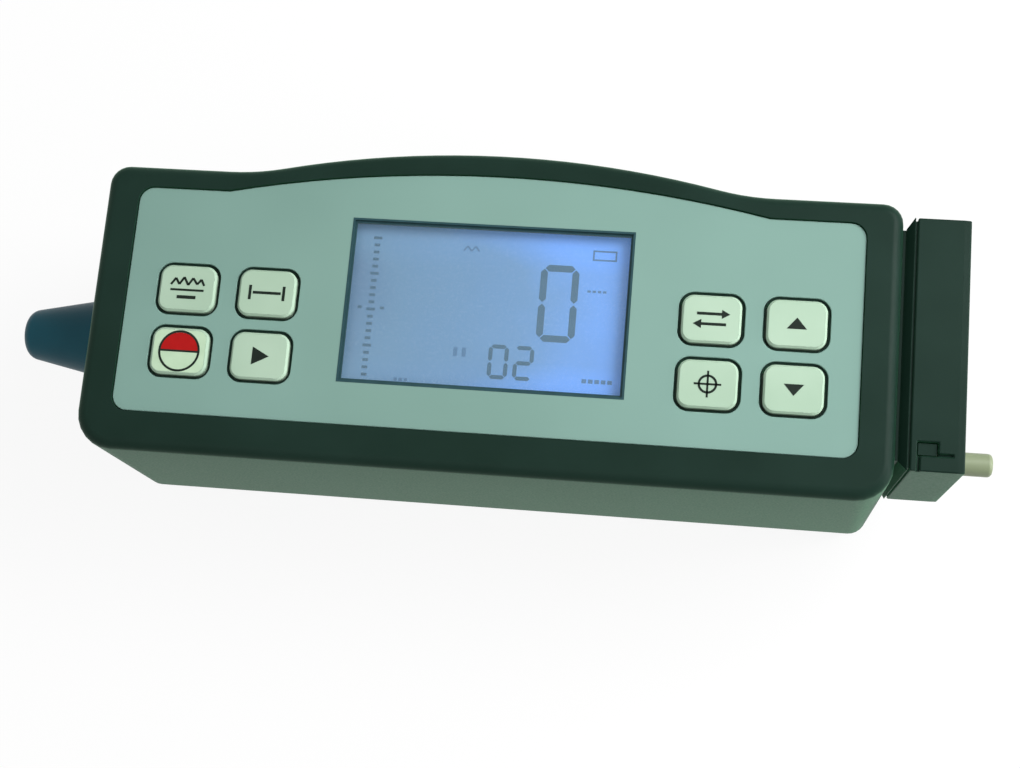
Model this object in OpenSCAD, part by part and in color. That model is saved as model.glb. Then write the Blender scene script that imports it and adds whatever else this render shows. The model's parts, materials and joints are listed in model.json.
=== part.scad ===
// Hand-held surface roughness tester: a case with an arched front, a display window, eight keys,
// a knob at the left end, and a guarded pickup that a lead screw drives out of the right end.
// Frame: X along the case, Y up the front panel, Z out of the panel. The back face lies on Z = 0,
// and the origin is the centre of the case's outline there. Millimetres.

/* [Case] */
// Length of the case at its front
body_l = 140; // [138:1:160]
// Height of the case beside the arch
flat_h = 51.5; // [51:0.5:58]
// Depth of the case from back face to bezel
body_d = 48; // [48:0.5:58]
// Rise of the arch over the flat top
arch_rise = 5.3; // [4:0.1:7]
// Half the width of the arch where it would meet the flat top
arch_half = 43; // [40:0.5:50]
// Radius of the hollow blend at each foot of the arch
arch_blend_r = 45; // [20:1:60]
// Radius of the two lower corners of the outline at the bezel
corner_low_r = 6.5; // [3.5:0.25:7]
// Radius of those corners at the back face
corner_back_r = 2.8; // [2.2:0.1:6]
// Radius of the two upper corners of the outline
corner_top_r = 3.5; // [3.2:0.1:4.5]
// Rounding of the bezel's front edge
edge_r = 2; // [0.8:0.1:2.4]
// Rounding of the back edge
back_edge_r = 0.5; // [0.3:0.1:0.8]
// How far the sides lean in over the bevel at the back
back_bevel = 1.2; // [0.4:0.1:1.3]
// Depth of that bevel
back_bevel_d = 6.5; // [5:0.5:10]
// How far each end leans in from front to back
end_draft = 0.3; // [0:0.1:3]
// Wall of both shells
wall_t = 2.2; // [1.8:0.1:2.6]
// Depth of the front cover, bezel to parting line
cover_d = 10; // [9.8:0.1:12]
// Height of the lip that locates the cover
lip_h = 1.6; // [1:0.1:2]
// Thickness of that lip
lip_t = 1; // [0.8:0.1:1.2]

/* [Front panel] */
// Bezel width beside the panel
panel_side = 6.2; // [5:0.1:8]
// Bezel width below the panel
panel_low = 6.8; // [5:0.1:8]
// Bezel width above the flat part of the panel
panel_top = 4.1; // [3:0.1:5]
// Rise of the panel's arch
panel_rise = 5.1; // [3.5:0.1:6]
// Half the width of the panel's arch
panel_arch_half = 47.5; // [42:0.1:50]
// Corner radius of the panel
panel_corner_r = 2.7; // [1.5:0.1:4]
// Depth of the recess that holds the panel sheet
panel_recess = 0.9; // [0.7:0.1:1.2]
// Thickness of the panel sheet
overlay_t = 0.5; // [0.3:0.1:0.6]
// Front wall behind the sheet
front_wall_t = 2; // [1.8:0.1:2.2]

/* [Display] */
// Width of the display opening
window_w = 48.9; // [44:0.1:50]
// Height of the display opening
window_h = 28.9; // [26:0.1:30]
// Height of the opening's centre above the origin
window_y = 0.6; // [0:0.1:1]
// Thickness of the clear window
window_t = 1.2; // [0.8:0.1:1.4]
// Rim of the window that the panel sheet covers
window_rim = 1.2; // [0.8:0.1:1.5]
// Thickness of the display glass
glass_t = 2.4; // [2:0.1:2.6]
// Rim of the glass beyond the opening
glass_rim = 2; // [1.6:0.1:2.2]
// Thickness of the backlight
backlight_t = 2.6; // [2.4:0.1:2.8]
// Wall of the frame round the glass
frame_t = 1.2; // [0.8:0.1:1.2]

/* [Keys] */
// Width of a key cap
key_w = 10.1; // [9:0.1:10.6]
// Height of a key cap
key_h = 8.3; // [7.5:0.1:8.8]
// Corner radius of a key cap
key_r = 2; // [1:0.1:2.5]
// Distance between key columns
key_pitch_x = 14.3; // [13.6:0.1:15]
// Distance between key rows
key_pitch_y = 11.3; // [11:0.1:13]
// Middle of each block of four keys, from the centre line
key_bank_x = 45.7; // [45.5:0.1:47]
// Middle height of the blocks of keys
key_bank_y = -5; // [-6:0.1:-4]
// How far a key stands over the panel sheet
key_rise = 0.5; // [0.2:0.1:0.8]
// Key travel
key_travel = 0.6; // [0.3:0.1:0.7]
// Margin of dark wall that shows round each key
key_margin = 0.6; // [0.4:0.1:0.8]
// Height of a dome switch
dome_h = 0.9; // [0.6:0.1:1]

/* [Circuit board] */
// Board thickness
board_t = 1.6; // [1:0.1:1.6]
// Half the board's length
board_half = 58.5; // [57:0.5:59]
// Radius of the posts that carry the board
post_r = 1.9; // [1.7:0.1:2]

/* [Power] */
// Diameter of a battery cell
cell_d = 10.5; // [10:0.1:10.5]
// Length of a cell with its terminal
cell_l = 44.5; // [42:0.5:44.5]
// Distance between cells
cell_pitch = 10.8; // [10.7:0.1:11]
// Thickness of a contact plate
contact_t = 1; // [0.6:0.1:1.2]
// Thickness of the battery door
door_t = 1.7; // [1.4:0.1:1.8]
// Ledge that the battery door sits on
door_ledge = 0.9; // [0.8:0.1:1.2]

/* [Drive] */
// Height of the lead screw's axis over the back face
drive_z = 25; // [24:0.5:26]
// Height of the lead screw's axis on the panel's Y
drive_y = -6; // [-7:0.5:-5]
// Diameter of the lead screw
screw_d = 3; // [2.5:0.1:3.2]
// Diameter of the guide rods
rod_d = 3; // [2.5:0.1:3.2]
// Diameter of the motor and its gearbox
motor_d = 12; // [10:0.5:12]
// Length of the motor
motor_l = 17; // [14:0.5:20]
// Length of the gearbox
gearbox_l = 9; // [8:0.5:11]
// Length of the carriage
carriage_l = 14; // [12:0.5:16]
// Travel of the pickup
stroke = 17.5; // [10:0.5:17.5]
// Sheet thickness of the drive chassis
sheet_t = 1.6; // [1.2:0.1:1.8]

/* [Pickup] */
// Height of the pickup's axis over the lower side of the case
pickup_up = 10.4; // [10:0.1:11]
// Depth of the pickup's axis behind the bezel
pickup_in = 18; // [17.5:0.1:18.5]
// Diameter of the pickup's nose tube
tube_d = 4.1; // [3.6:0.1:4.3]
// How far the nose reaches past the end of the case
pickup_reach = 18.5; // [17:0.1:24]
// Diameter of the pickup's body
probe_d = 6.4; // [5.6:0.1:6.4]
// Length of the pickup's body
probe_l = 20.5; // [16:0.5:20.5]

/* [Pickup guard] */
// Length of the guard's block along X
guard_l = 8.9; // [7.5:0.1:12]
// Wall of the guard
guard_t = 1.6; // [1.2:0.1:1.8]
// Guard's lower side over the lower side of the case
guard_up = 5.5; // [4.8:0.1:5.6]
// Guard's top under the flat top of the case
guard_down = 2.5; // [1:0.1:5]
// Guard's front face behind the bezel
guard_in = 0.4; // [0:0.1:2]
// Guard's back face over the back face of the case
guard_back = 16.5; // [14:0.5:18]
// Thickness of the flange next to the case
flange_t = 1.3; // [1:0.1:2]
// Gap between the case and the flange
neck_t = 0.6; // [0.6:0.1:1.5]
// Width of the groove between the flange and the block
groove_w = 0.4; // [0.3:0.1:1]

/* [Knob] */
// Knob length
knob_l = 19; // [18:0.5:26]
// Knob diameter at the case
knob_base_d = 16.5; // [16:0.5:19]
// Knob diameter at the tip
knob_tip_d = 9.6; // [9:0.1:13]
// Rounding of the knob's tip
knob_round_r = 2.4; // [1.5:0.1:4]
// Diameter of the knob's spindle
spindle_d = 5; // [4:0.1:5.5]
// Height of the knob's axis on the panel's Y
knob_y = -4.3; // [-6:0.1:0]
// Height of the knob's axis over the back face
knob_z = 26; // [25.5:0.5:27]

/* [Hidden] */
$fn = 48;

// Colours
case_colour = [0.14, 0.22, 0.20];
panel_colour = [0.53, 0.66, 0.60];
key_colour = [0.78, 0.85, 0.76];
display_colour = [0.48, 0.63, 0.80];
clear_colour = [0.80, 0.88, 0.92, 0.4];
board_colour = [0.10, 0.32, 0.18];
chip_colour = [0.08, 0.08, 0.09];
steel_colour = [0.70, 0.71, 0.72];
brass_colour = [0.78, 0.65, 0.35];
light_colour = [0.93, 0.94, 0.95];
ivory_colour = [0.66, 0.70, 0.60];
cell_colour = [0.20, 0.24, 0.28];
knob_colour = [0.12, 0.26, 0.30];
polymer_colour = [0.30, 0.31, 0.32];

// Clearances
slip = 0.02;
run = 0.05;
key_gap = 0.25;
lip_gap = 0.1;
panel_gap = 0.15;
door_gap = 0.2;
cell_play = 0.2;
part_gap = 0.4;
pilot_over = 0.4;
thin = 0.1;
least_r = 0.3;
eps = 0.5;

// Case planes
half_l = body_l / 2;
y_low = -(flat_h + arch_rise) / 2;
y_flat = y_low + flat_h;
y_mid = (y_low + y_flat) / 2;
z_split = body_d - cover_d;
z_seat = body_d - panel_recess;
z_panel = z_seat + overlay_t;
z_inner = z_seat - front_wall_t;
lip_in = wall_t - lip_t;
z_lip = z_split + lip_h;

// Display and board planes
glass_gap = 0.2;
glass_w = window_w + 2 * glass_rim;
glass_h = window_h + 2 * glass_rim;
z_glass = z_inner - glass_gap - glass_t;
z_board = z_glass - backlight_t;
frame_gap = 0.15;
strip_w = 1.6;
board_drop = 22;
board_low = window_y - board_drop;
board_high = window_y + glass_h / 2 + frame_gap + frame_t + part_gap;

// Small screws, one size throughout
bolt_d = 1.7;
bolt_hole = 2.2;
bolt_pilot = bolt_d + 2 * run;
head_d = 3.8;
head_h = 1.3;
cross_l = 2.6;
cross_w = 0.5;
cross_d = 0.5;
case_boss_r = 3;
cover_boss_r = 2.5;
sink_d = head_d + part_gap;
screw_from_end = 7.2;
screw_from_wall = 2.1;
case_screw_x = half_l - screw_from_end;
case_screw_low = y_low + wall_t + screw_from_wall;
case_screw_high = y_flat - wall_t - screw_from_wall;
case_screw_at = [for (x = [-1, 1]) for (y = [case_screw_low, case_screw_high]) [x * case_screw_x, y]];
case_screw_grip = 9;
case_screw_reach = 4;
z_case_seat = z_lip - case_screw_grip;
board_screw_up = 15.6;
board_screw_drop = 19.5;
board_screw_at = [
    for (s = [-1, 1]) each [
        [s * key_bank_x, key_bank_y + board_screw_up],
        [s * (glass_w / 2 + frame_gap + frame_t + post_r + part_gap), window_y - board_screw_drop]
    ]
];
board_bolt_l = 4.6;
board_corner_r = 1.5;

// Packages on the back of the board: place, plan size and thickness of each
chip_packages = [
    [-14, 2, 14, 14, 1.6], [8, 4, 10, 8, 1.4], [24, 0, 6, 5, 1.4],
    [-36, 6, 8, 6, 1.4], [-48, -12, 12, 5, 3.2], [40, 6, 9, 4, 2]
];

// Keys
key_flange_t = 1;
key_flange = 0.9;
key_flange_gap = 0.1;
key_stem_d = 3.2;
key_bevel = 0.35;
key_foot_gap = 0.15;
dome_r = 3;
dome_rim = 1;
dome_rim_h = 0.36;
z_key_flange = z_inner - key_flange_gap - key_flange_t;
z_key_foot = z_board + dome_h + key_travel + key_foot_gap;
key_at = [
    for (y = [key_bank_y + key_pitch_y / 2, key_bank_y - key_pitch_y / 2])
        for (x = [-key_bank_x - key_pitch_x / 2, -key_bank_x + key_pitch_x / 2,
                  key_bank_x - key_pitch_x / 2, key_bank_x + key_pitch_x / 2]) [x, y]
];

// Battery bay
bay_l = cell_l + 2 * contact_t + 2 * cell_play;
bay_w = 3 * cell_pitch + cell_d + 2 * cell_play;
bay_from = 12;
bay_x = -half_l + bay_from;
bay_wall = 1.6;
door_rise = 0.3;
door_seat_gap = 0.1;
z_bay = door_rise + door_t + door_seat_gap;
z_cell = z_bay + part_gap + cell_d / 2;
z_bay_top = z_cell + cell_d / 2 + part_gap;
bay_roof_t = 1.5;
deck_gap = 0.5;
terminal_d = 3.8;
terminal_l = 1.3;
door_l = bay_l + 2 * door_ledge;
door_w = bay_w + 2 * door_ledge;
door_corner_r = 1.5;
grip_ribs = 5;
grip_start = 5;
grip_pitch = 2;
grip_size = [0.9, 16, 0.4];
contact_w = 8;
contact_h = 9;

// Drive, set out from the right end
drive_axis = [drive_y, drive_z];
coupling_d = 6;
coupling_l = 8;
coupling_gap = 1;
carriage_gap = 3.1;
carriage_from = 69;
chassis_from = carriage_from + carriage_gap + coupling_l + coupling_gap + head_h + sheet_t;
chassis_to = 24;
chassis_x0 = half_l - chassis_from;
chassis_x1 = half_l - chassis_to;
chassis_z = z_bay_top + bay_roof_t + deck_gap;
z_deck = chassis_z + sheet_t;
rod_rise = 13;
rod_drop = 6.6;
rod_sink = 2.5;
rim_low = 0.5;
rim_high = 2;
rod_high = [drive_y + rod_rise, drive_z];
rod_low = [drive_y - rod_drop, drive_z - rod_sink];
chassis_y0 = rod_low.x - rod_d / 2 - rim_low;
chassis_y1 = rod_high.x + rod_d / 2 + rim_high;
under_board = 3.9;
carriage_z1 = z_board - board_t - under_board;
chassis_top = carriage_z1 - part_gap;
chassis_post_r = 2.6;
post_in = 10;
post_low = 5.5;
post_high = 11;
bay_end = bay_x + bay_l + bay_wall;
post_x0 = max(chassis_x0 + post_in, bay_end + chassis_post_r + part_gap);
chassis_screw_at = [
    for (x = [post_x0, chassis_x1 - post_in])
        for (y = [drive_y - post_low, drive_y + post_high]) [x, y]
];
chassis_bolt_l = 6;
shaft_d = 2.4;
motor_bolt_r = motor_d * 0.33;
motor_bolt_in = 2.6;
motor_boss_l = 1.5;
motor_boss_d = motor_d * 0.4;
coupling_x = chassis_x0 + sheet_t + head_h + coupling_gap;
coupling_mid = coupling_x + coupling_l / 2;
shaft_in = 4;
shaft_room = 0.5;
screw_gap = 0.2;
screw_over = 0.6;
carriage_x = half_l - carriage_from;
screw_room = 0.7;
carriage_drop = 5;
carriage_y1 = chassis_y1 - screw_gap;
carriage_z0 = drive_z - carriage_drop;
nut_d = 6.4;
nut_l = 8;
nut_x = carriage_x + (carriage_l - nut_l) / 2;
bush_d = 5.2;
bush_flange_d = 7;
bush_flange_t = 1;
switch_size = [8, 4.4, 6.5];
switch_gap = 2;
switch_y = drive_y + 4.2;
relief_y = drive_y + 4.6;
relief_w = 4.4;
relief_up = 7;

// Pickup
pickup_y = y_low + pickup_up;
pickup_z = body_d - pickup_in;
pickup_axis = [pickup_y, pickup_z];
holder_d = 8.4;
holder_l = 6;
holder_in = 6;
holder_wall = 1;
probe_x = carriage_x + carriage_l + holder_l;
tube_x = probe_x + probe_l;
tube_tip_x = half_l + pickup_reach;
tube_in = 3;
tube_bore_d = 3;
tube_tip_r = 0.8;
tip_wall = 1.4;
carriage_y0 = pickup_y - holder_d / 2 - part_gap;
wiper_d = 6.8;
stylus_reach = 8.4;
stylus_x = half_l + stylus_reach;
stylus_d = 0.7;
stylus_proud = 0.15;
stylus_cone_l = 0.6;
stylus_point_d = 0.1;
skid_l = 3;
skid_w = 1.8;
skid_drop = 0.8;
skid_back = 1;
lever_d = 0.9;
lever_l = 19;
fulcrum_l = 2;

// Pickup guard
guard_x0 = half_l + neck_t;
guard_x1 = guard_x0 + flange_t;
guard_x2 = guard_x1 + groove_w;
guard_x3 = guard_x2 + guard_l;
guard_y0 = y_low + guard_up;
guard_y1 = y_flat - guard_down;
guard_z0 = guard_back;
guard_z1 = body_d - guard_in;
flange_bevel = 1.6;
neck_inset = 1.8;
groove_inset = 0.5;
spigot_l = 1.9;
spigot_t = 1.1;
tube_room = 0.55;
skid_room = 0.4;
latch_gap = 0.2;
latch_in = 1.1;
latch_up = 2.6;
latch_w = 3.5;
latch_h = 2.4;
tab_w = latch_h - 2 * latch_gap;
tab_t = 1.2;
latch_x0 = guard_x2 + latch_in;
latch_x1 = latch_x0 + latch_w;
latch_y0 = guard_y0 + latch_up;
latch_y1 = latch_y0 + latch_h;
catch_h = guard_t * 0.6;
slit_w = 0.5;
slit_l = 2.4;
slit_d = 0.6;
cover_bevel = 1.2;
pad_in = 4;
pad_over = 2.5;
pad_in_from = 1;
guard_screw_down = 9;
guard_screw_up = 13;
guard_screw_in = 12;
guard_screw_out = 7;
guard_screw_at = [
    [guard_y1 - guard_screw_down, guard_z1 - guard_screw_in],
    [guard_y1 - guard_screw_down, guard_z0 + guard_screw_out],
    [guard_y0 + guard_screw_up, guard_z0 + guard_screw_out]
];
guard_bolt_l = flange_t + neck_t + pad_in - pilot_over;

// Knob
knob_gap = 0.4;
knob_x = -half_l - knob_gap;
knob_axis = [knob_y, knob_z];
knob_bore_l = 11;
bore_gap = 0.2;
bush_wall = 2;
knob_pad_over = 1.2;
knob_pad_r = knob_base_d / 2 + knob_pad_over;
spindle_over = 1.5;
knob_bush_l = 6;
clip_t = 0.8;
clip_gap = 0.3;
clip_over = 1.9;
clip_d = spindle_d + 2 * clip_over;

// Points along a circular arc, both ends included
function arc(centre, r, from, to, steps) = [
    for (i = [0 : steps])
        let (a = from + (to - from) * i / steps) centre + r * [cos(a), sin(a)]
];

// Rounded outline with an arched top, shrunk by inset all round and by end_in at both ends
function arched_outline(half, low, flat, corners, rise, chord, blend, inset, end_in) =
    let (arch_r = (chord * chord + rise * rise) / (2 * rise),
         arch_y = flat + rise - arch_r,
         h = half - end_in - inset,
         r = max(corners[0] - inset, least_r),
         s = max(corners[1] - inset, least_r),
         foot_x = sqrt(pow(arch_r + blend, 2) - pow(flat + blend - arch_y, 2)),
         foot_a = atan2(flat + blend - arch_y, foot_x),
         top = flat - inset,
         base = low + inset,
         skip = blend > 0 ? 1 : 0)
    concat(
        arc([-h + r, base + r], r, 180, 270, 6),
        arc([h - r, base + r], r, 270, 360, 6),
        arc([h - s, top - s], s, 0, 90, 6),
        blend > 0 ? arc([foot_x, flat + blend], blend + inset, 270, 180 + foot_a, 5) : [],
        [for (i = [skip : 20 - skip])
            let (a = foot_a + (180 - 2 * foot_a) * i / 20)
                [0, arch_y] + (arch_r - inset) * [cos(a), sin(a)]],
        blend > 0 ? arc([-foot_x, flat + blend], blend + inset, 360 - foot_a, 270, 5) : [],
        arc([-h + s, top - s], s, 90, 180, 6)
    );

// Ends lean in evenly from the bezel to the back face
function lean(z) = end_draft * (body_d - z) / body_d;

// Lower corners tighten evenly from the bezel to the back face
function low_r(z) = corner_back_r + (corner_low_r - corner_back_r) * z / body_d;

// Sides lean in over the bevel at the back
function bevel(z) = back_bevel * max(1 - z / back_bevel_d, 0);

// Outline of the case at height z, shrunk by inset all round
function case_outline(inset, z) = arched_outline(
    half_l, y_low, y_flat, [low_r(z), corner_top_r], arch_rise, arch_half, arch_blend_r, inset, lean(z)
);

// One closed ring of the case's skin, inset from the outer face at height z
function ring(inset, z) = [for (p = case_outline(inset, z)) [p.x, p.y, z]];

// Outline of the panel sheet, grown by a clearance
function panel_outline(grow) = arched_outline(
    half_l - panel_side + grow, y_low + panel_low - grow, y_flat - panel_top + grow,
    [panel_corner_r + grow, panel_corner_r + grow], panel_rise, panel_arch_half + grow, 0, 0, 0
);

// Solid through rings that all have the same number of points
module loft(rings) {
    n = len(rings[0]);
    points = [for (r = rings) each r];
    last = (len(rings) - 1) * n;
    sides = [
        for (k = [0 : len(rings) - 2]) for (i = [0 : n - 1])
            let (j = (i + 1) % n) [k * n + i, (k + 1) * n + i, (k + 1) * n + j, k * n + j]
    ];
    polyhedron(points, concat([[for (i = [0 : n - 1]) i]], [[for (i = [n - 1 : -1 : 0]) last + i]], sides));
}

// Solid through rings that reach past two heights, cut off flat at both
module block(rings, z0, z1) {
    intersection() {
        loft(rings);
        slab([0, 0, z0], [2 * body_l, 2 * body_l, z1 - z0]);
    }
}

// Straight-walled block of the case's outline, inset from its skin
module core(inset, z0, z1) {
    block([ring(inset, z0 - eps), ring(inset, z1 + eps)], z0, z1);
}

// Rectangle with round corners, centred
module rounded_rect(w, h, r) {
    square([w - 2 * r, h], center = true);
    square([w, h - 2 * r], center = true);
    for (x = [-1, 1]) for (y = [-1, 1]) translate([x * (w / 2 - r), y * (h / 2 - r)]) circle(r);
}

// Box centred in X and Y on a point, standing on its own z
module slab(at, size) {
    translate([at.x - size.x / 2, at.y - size.y / 2, at.z]) cube(size);
}

// Round bar along X between two ends, on the axis y, z
module bar(x0, x1, axis, d) {
    translate([x0, axis.x, axis.y]) rotate([0, 90, 0]) cylinder(d = d, h = x1 - x0);
}

// Pan-head screw with its head's seat at z = 0 and its shank running up
module bolt(l) {
    difference() {
        translate([0, 0, -head_h]) cylinder(d = head_d, h = head_h);
        slab([0, 0, -head_h - eps], [cross_l, cross_w, cross_d + eps]);
        slab([0, 0, -head_h - eps], [cross_w, cross_l, cross_d + eps]);
    }
    cylinder(d = bolt_d, h = l);
}

// Front cover: arched bezel, panel recess, openings, bosses and board posts
module front_cover() {
    last_a = 72;
    crown = [
        for (a = [0 : 18 : last_a]) ring(edge_r * (1 - cos(a)), body_d - edge_r + edge_r * sin(a))
    ];
    past_crown = ring(edge_r * (1 + cos(last_a)), body_d + edge_r * (1 - sin(last_a)));
    color(case_colour) difference() {
        union() {
            difference() {
                block(concat([ring(0, z_split - eps)], crown, [past_crown]), z_split, body_d);
                core(wall_t, z_split - eps, z_inner);
                core(lip_in - lip_gap, z_split - eps, z_lip + lip_gap);
            }
            for (p = case_screw_at)
                translate([p.x, p.y, z_lip]) cylinder(r = cover_boss_r, h = z_inner - z_lip + eps);
            for (p = board_screw_at)
                translate([p.x, p.y, z_board]) cylinder(r = post_r, h = z_inner - z_board + eps);
        }
        translate([0, 0, z_seat]) linear_extrude(panel_recess + eps) polygon(panel_outline(panel_gap));
        slab([0, window_y, z_seat - window_t],
             [window_w + 2 * window_rim, window_h + 2 * window_rim, window_t + eps]);
        slab([0, window_y, z_inner - eps], [window_w, window_h, front_wall_t + eps]);
        for (p = key_at)
            translate([p.x, p.y, z_inner - eps]) linear_extrude(front_wall_t + 2 * eps)
                rounded_rect(key_w + 2 * key_gap, key_h + 2 * key_gap, key_r + key_gap);
        for (p = case_screw_at)
            translate([p.x, p.y, z_lip - eps])
                cylinder(d = bolt_pilot, h = case_screw_reach + pilot_over + eps);
        for (p = board_screw_at)
            translate([p.x, p.y, z_board - eps])
                cylinder(d = bolt_pilot, h = board_bolt_l - board_t + pilot_over + eps);
    }
}

// Rear case: drafted tub with lip, screw bosses, chassis posts, battery bay and end pads
module rear_case() {
    first_a = 30;
    heel = [
        for (a = [first_a : 30 : 90])
            let (z = back_edge_r * (1 - cos(a))) ring(bevel(z) + back_edge_r * (1 - sin(a)), z)
    ];
    past_heel = ring(back_bevel + back_edge_r * (1 + sin(first_a)), -back_edge_r * (1 - cos(first_a)));
    outside = concat([past_heel], heel, [ring(0, back_bevel_d), ring(0, z_split + eps)]);
    inside = [
        ring(wall_t + bevel(wall_t - eps), wall_t - eps), ring(wall_t, back_bevel_d),
        ring(wall_t, z_lip + 2 * eps)
    ];
    bay_y0 = y_low + wall_t - eps;
    bay_y1 = y_flat - wall_t + eps;
    guard_pad_y0 = guard_y0 + neck_inset - pad_over;
    guard_pad_y1 = guard_y1 - neck_inset - pad_in_from;
    color(case_colour) difference() {
        union() {
            difference() {
                union() {
                    block(outside, 0, z_split);
                    core(lip_in, z_split - eps, z_lip);
                }
                block(inside, wall_t, z_lip + eps);
            }
            for (p = case_screw_at)
                translate([p.x, p.y, wall_t - eps]) cylinder(r = case_boss_r, h = z_lip - wall_t + eps);
            for (p = chassis_screw_at)
                translate([p.x, p.y, wall_t - eps])
                    cylinder(r = chassis_post_r, h = chassis_z - wall_t + eps);
            translate([bay_x - bay_wall, bay_y0, wall_t - eps])
                cube([bay_l + 2 * bay_wall, bay_y1 - bay_y0, z_bay_top + bay_roof_t - wall_t + eps]);
            bar(-half_l, -half_l + pad_in, knob_axis, 2 * knob_pad_r);
            translate([half_l - pad_in, guard_pad_y0, guard_z0 + neck_inset + pad_in_from])
                cube([pad_in, guard_pad_y1 - guard_pad_y0, z_split - guard_z0 - neck_inset - pad_in_from]);
        }
        slab([bay_x + bay_l / 2, y_mid, -eps], [bay_l, bay_w, z_bay_top + eps]);
        translate([bay_x + bay_l / 2, y_mid, -eps]) linear_extrude(z_bay + eps)
            rounded_rect(door_l + 2 * door_gap, door_w + 2 * door_gap, door_corner_r + door_gap);
        for (p = case_screw_at) {
            translate([p.x, p.y, -eps]) cylinder(d = sink_d, h = z_case_seat + eps);
            translate([p.x, p.y, -eps]) cylinder(d = bolt_hole, h = z_lip + 2 * eps);
        }
        for (p = chassis_screw_at)
            translate([p.x, p.y, chassis_z - chassis_bolt_l + sheet_t - pilot_over])
                cylinder(d = bolt_pilot, h = chassis_bolt_l);
        bar(-half_l - eps, -half_l + pad_in + eps, knob_axis, spindle_d + 2 * bush_wall + 2 * slip);
        bar(half_l - pad_in - eps, half_l + eps, pickup_axis, wiper_d + 2 * slip);
        for (p = guard_screw_at) bar(half_l - pad_in - eps, half_l + eps, p, bolt_pilot);
    }
}

// Panel sheet with the display opening and the key openings
module panel_overlay() {
    color(panel_colour) translate([0, 0, z_seat]) linear_extrude(overlay_t) difference() {
        polygon(panel_outline(0));
        translate([0, window_y]) square([window_w, window_h], center = true);
        for (p = key_at)
            translate(p) rounded_rect(key_w + 2 * key_margin, key_h + 2 * key_margin, key_r + key_margin);
    }
}

module lcd_window() {
    color(clear_colour) slab([0, window_y, z_seat - window_t],
        [window_w + 2 * window_rim - 2 * run, window_h + 2 * window_rim - 2 * run, window_t]);
}

module lcd_glass() {
    color(display_colour) slab([0, window_y, z_glass], [glass_w, glass_h, glass_t]);
}

// Frame that stands on the board and holds the glass
module lcd_frame() {
    inner = [glass_w + 2 * frame_gap, glass_h + 2 * frame_gap];
    outer = [inner.x + 2 * frame_t, inner.y + 2 * frame_t];
    tall = z_inner - glass_gap - z_board;
    color(polymer_colour) difference() {
        slab([0, window_y, z_board], [outer.x, outer.y, tall]);
        slab([0, window_y, z_board - eps], [inner.x, inner.y, tall + 2 * eps]);
    }
}

module lcd_backlight() {
    tall = glass_h - 2 * strip_w - 2 * part_gap;
    color(light_colour) slab([0, window_y, z_board], [window_w, tall, backlight_t]);
}

// Contact strips between the board and the glass, along both long edges
module lcd_connectors() {
    color(polymer_colour) for (s = [-1, 1])
        slab([0, window_y + s * (glass_h - strip_w) / 2, z_board], [window_w, strip_w, backlight_t]);
}

// Board with its screw holes, and room for the case's screw bosses
module main_board() {
    color(board_colour) translate([0, 0, z_board - board_t]) linear_extrude(board_t) difference() {
        translate([0, (board_low + board_high) / 2])
            rounded_rect(2 * board_half, board_high - board_low, board_corner_r);
        for (p = board_screw_at) translate(p) circle(d = bolt_hole);
        for (p = case_screw_at) translate(p) circle(r = case_boss_r + part_gap);
    }
}

module board_chips() {
    color(chip_colour) for (c = chip_packages)
        slab([c[0], c[1], z_board - board_t - c[4]], [c[2], c[3], c[4]]);
}

module board_screws() {
    color(steel_colour) for (p = board_screw_at)
        translate([p.x, p.y, z_board - board_t]) bolt(board_bolt_l);
}

// Snap domes under the keys
module switch_domes() {
    color(steel_colour) for (p = key_at) translate([p.x, p.y, z_board]) {
        cylinder(r = dome_r, h = dome_rim_h);
        cylinder(r = dome_r - dome_rim, h = dome_h);
    }
}

// Key cap with a bevelled top, a retaining flange and a foot over its dome
module key(index) {
    p = key_at[index];
    z_top = z_panel + key_rise;
    color(key_colour) translate([p.x, p.y, 0]) {
        translate([0, 0, z_key_flange]) linear_extrude(z_top - key_bevel - z_key_flange)
            rounded_rect(key_w, key_h, key_r);
        hull() {
            translate([0, 0, z_top - key_bevel - thin]) linear_extrude(thin)
                rounded_rect(key_w, key_h, key_r, $fn = 32);
            translate([0, 0, z_top - thin]) linear_extrude(thin)
                rounded_rect(key_w - 2 * key_bevel, key_h - 2 * key_bevel, key_r - key_bevel, $fn = 32);
        }
        translate([0, 0, z_key_flange]) linear_extrude(key_flange_t)
            rounded_rect(key_w + 2 * key_flange, key_h + 2 * key_flange, key_r);
        translate([0, 0, z_key_foot]) cylinder(d = key_stem_d, h = z_key_flange - z_key_foot + eps);
    }
}

module key_parameter() { key(0); }
module key_cutoff() { key(1); }
module key_unit() { key(2); }
module key_up() { key(3); }
module key_power() { key(4); }
module key_start() { key(5); }
module key_calibrate() { key(6); }
module key_down() { key(7); }

module case_screws() {
    color(steel_colour) for (p = case_screw_at)
        translate([p.x, p.y, z_case_seat]) bolt(case_screw_grip + case_screw_reach);
}

// Battery door with grip ribs near its outer end
module battery_door() {
    color(case_colour) translate([bay_x + bay_l / 2, y_mid, door_rise]) difference() {
        linear_extrude(door_t) rounded_rect(door_l, door_w, door_corner_r);
        for (i = [0 : grip_ribs - 1])
            slab([-door_l / 2 + grip_start + grip_pitch * i, 0, -eps], grip_size + [0, 0, eps]);
    }
}

// One cell, lying along X, with its terminal at one end or the other
module cell(index) {
    y = y_mid + (index - 1.5) * cell_pitch;
    way = index % 2 == 0 ? 1 : -1;
    color(cell_colour) translate([bay_x + bay_l / 2, y, z_cell]) rotate([0, 90 * way, 0]) {
        translate([0, 0, -cell_l / 2]) cylinder(d = cell_d, h = cell_l - terminal_l);
        translate([0, 0, cell_l / 2 - terminal_l - eps]) cylinder(d = terminal_d, h = terminal_l + eps);
    }
}

module battery_cell_1() { cell(0); }
module battery_cell_2() { cell(1); }
module battery_cell_3() { cell(2); }
module battery_cell_4() { cell(3); }

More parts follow.
